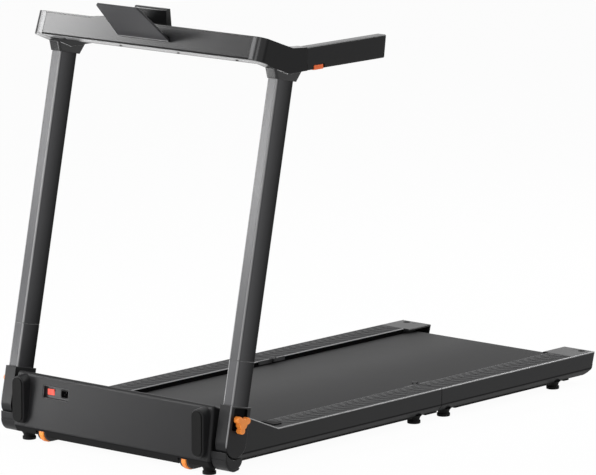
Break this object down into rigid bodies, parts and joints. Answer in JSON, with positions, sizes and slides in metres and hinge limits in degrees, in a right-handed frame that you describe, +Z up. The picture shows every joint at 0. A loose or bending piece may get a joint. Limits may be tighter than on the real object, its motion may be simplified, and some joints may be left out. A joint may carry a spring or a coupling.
{
  "type": "folding walking pad with handrail",
  "caption": "Folding walking treadmill: hinged belt deck, wedge motor hood, fold-down handrail with arms, console, phone flap, lock knobs and transport wheels.",
  "frame": {"origin": "On the floor under the middle of the overall box.", "axes": "+Z up; +Y from the motor end to the end where the walker steps on, the longest extent; +X to the walker's left, the shortest extent."},
  "size_m": [0.744, 1.44, 1.0535],
  "materials": {
    "frame_steel": "black powder coat",
    "hood_plastic": "fine grained dark grey moulding",
    "cover_plastic": "dark grey moulding",
    "tread_plastic": "dark grey with an anti-slip texture",
    "black_plastic": "black moulding",
    "pad_rubber": "black rubber",
    "belt_rubber": "textured walking belt",
    "board_wood": "dark laminated board",
    "bare_steel": "turned steel",
    "motor_paint": "black enamel",
    "fin_aluminium": "extruded",
    "upright_paint": "dark grey satin paint",
    "console_plastic": "dark grey moulding",
    "panel_plastic": "black panel",
    "arm_plastic": "dark grey grip",
    "flap_plastic": "dark grey moulding",
    "display_glass": "black window",
    "button_plastic": "grey keys",
    "orange_plastic": "orange moulding",
    "red_plastic": "red rocker"
  },
  "bodies": {
    "base": {"front_frame": "frame_steel", "motor_hood": "hood_plastic", "belly_pan": "black_plastic", "switch_tray": "black_plastic", "power_inlet": "black_plastic", "storage_pads": "pad_rubber", "base_caps": "black_plastic", "pivot_brackets": "frame_steel", "front_side_cover_left": "cover_plastic", "front_side_cover_right": "cover_plastic", "front_tread_strips": "tread_plastic", "front_deck_board": "board_wood", "front_cushions": "pad_rubber", "front_feet": "pad_rubber", "wheel_forks": "frame_steel", "motor_case": "motor_paint", "control_box": "fin_aluminium", "drive_belt": "pad_rubber", "walking_belt": "belt_rubber", "front_roller_axle": "bare_steel", "front_hinge_leaves": "frame_steel"},
    "rear_deck": {"rear_frame": "frame_steel", "rear_side_cover_left": "cover_plastic", "rear_side_cover_right": "cover_plastic", "rear_tread_strips": "tread_plastic", "rear_end_cap_left": "cover_plastic", "rear_end_cap_right": "cover_plastic", "rear_deck_board": "board_wood", "rear_cushions": "pad_rubber", "rear_feet": "pad_rubber", "rear_roller_axle": "bare_steel", "tension_bolts": "bare_steel", "rear_hinge_leaves": "frame_steel"},
    "handle": {"upright_left": "upright_paint", "upright_right": "upright_paint", "boot_left": "black_plastic", "boot_right": "black_plastic", "top_collars": "black_plastic", "corner_left": "console_plastic", "corner_right": "console_plastic", "console_body": "console_plastic", "console_panel": "panel_plastic", "display_pod": "panel_plastic", "display_lens": "display_glass"},
    "front_roller": {"front_roller": "bare_steel"},
    "rear_roller": {"rear_roller": "bare_steel"},
    "motor_shaft": {"motor_shaft": "bare_steel"},
    "arm_left": {"arm_left": "arm_plastic"},
    "arm_right": {"arm_right": "arm_plastic"},
    "latch_left": {"latch_left": "orange_plastic"},
    "latch_right": {"latch_right": "orange_plastic"},
    "phone_flap": {"phone_flap": "flap_plastic"},
    "knob_left": {"knob_left": "orange_plastic"},
    "knob_right": {"knob_right": "orange_plastic"},
    "wheel_left": {"wheel_left": "orange_plastic"},
    "wheel_right": {"wheel_right": "orange_plastic"},
    "rocker_switch": {"rocker_switch": "red_plastic"},
    "start_button": {"start_button": "button_plastic"},
    "faster_button": {"faster_button": "button_plastic"},
    "slower_button": {"slower_button": "button_plastic"}
  },
  "joints": [
    {"name": "deck_fold", "type": "hinge", "parent": "base", "child": "rear_deck", "pos_m": [0, 0.126, 0.078], "axis": [1, 0, 0], "range_deg": [0, 180], "deforming": ["walking_belt"]},
    {"name": "handle_fold", "type": "hinge", "parent": "base", "child": "handle", "pos_m": [0, -0.664, 0.079], "axis": [-1, 0, 0], "range_deg": [0, 75]},
    {"name": "front_roller_spin", "type": "hinge", "parent": "base", "child": "front_roller", "pos_m": [0, -0.561, 0.0426], "axis": [1, 0, 0], "continuous": true},
    {"name": "rear_roller_spin", "type": "hinge", "parent": "rear_deck", "child": "rear_roller", "pos_m": [0, 0.671, 0.0426], "axis": [1, 0, 0], "continuous": true},
    {"name": "motor_spin", "type": "hinge", "parent": "base", "child": "motor_shaft", "pos_m": [0, -0.633, 0.084], "axis": [1, 0, 0], "continuous": true},
    {"name": "wheel_left_spin", "type": "hinge", "parent": "base", "child": "wheel_left", "pos_m": [0.225, -0.676, 0.026], "axis": [1, 0, 0], "continuous": true},
    {"name": "wheel_right_spin", "type": "hinge", "parent": "base", "child": "wheel_right", "pos_m": [-0.225, -0.676, 0.026], "axis": [1, 0, 0], "continuous": true},
    {"name": "rocker_tilt", "type": "hinge", "parent": "base", "child": "rocker_switch", "pos_m": [-0.203, -0.68504, 0.125], "axis": [0, 0, -1], "range_deg": [0, 11]},
    {"name": "knob_left_turn", "type": "hinge", "parent": "handle", "child": "knob_left", "pos_m": [0.35, -0.65444, 0.12399], "axis": [1, 0, 0], "range_deg": [0, 360]},
    {"name": "knob_right_turn", "type": "hinge", "parent": "handle", "child": "knob_right", "pos_m": [-0.35, -0.65444, 0.12399], "axis": [-1, 0, 0], "range_deg": [0, 360]},
    {"name": "arm_left_fold", "type": "hinge", "parent": "handle", "child": "arm_left", "pos_m": [0.326, -0.41757, 0.93536], "axis": [0, 0, 1], "range_deg": [0, 90]},
    {"name": "arm_right_fold", "type": "hinge", "parent": "handle", "child": "arm_right", "pos_m": [-0.326, -0.41757, 0.93536], "axis": [0, 0, -1], "range_deg": [0, 90]},
    {"name": "flap_tilt", "type": "hinge", "parent": "handle", "child": "phone_flap", "pos_m": [0, -0.58002, 0.97789], "axis": [-1, 0, 0], "range_deg": [0, 60]},
    {"name": "latch_left_slide", "type": "slide", "parent": "arm_left", "child": "latch_left", "axis": [0, 1, 0], "range_m": [0, 0.006], "stiffness_N_per_m": 200, "springref_m": -0.002},
    {"name": "latch_right_slide", "type": "slide", "parent": "arm_right", "child": "latch_right", "axis": [0, 1, 0], "range_m": [0, 0.006], "stiffness_N_per_m": 200, "springref_m": -0.002},
    {"name": "start_press", "type": "slide", "parent": "handle", "child": "start_button", "axis": [0, -0.3338, -0.9426], "range_m": [0, 0.0015], "stiffness_N_per_m": 200, "springref_m": -0.002},
    {"name": "faster_press", "type": "slide", "parent": "handle", "child": "faster_button", "axis": [0, -0.3338, -0.9426], "range_m": [0, 0.0015], "stiffness_N_per_m": 200, "springref_m": -0.002},
    {"name": "slower_press", "type": "slide", "parent": "handle", "child": "slower_button", "axis": [0, -0.3338, -0.9426], "range_m": [0, 0.0015], "stiffness_N_per_m": 200, "springref_m": -0.002}
  ],
  "couplings": [
    {"joint": "rear_roller_spin", "follows": "front_roller_spin", "ratio": 1},
    {"joint": "motor_spin", "follows": "front_roller_spin", "ratio": 2.1}
  ]
}
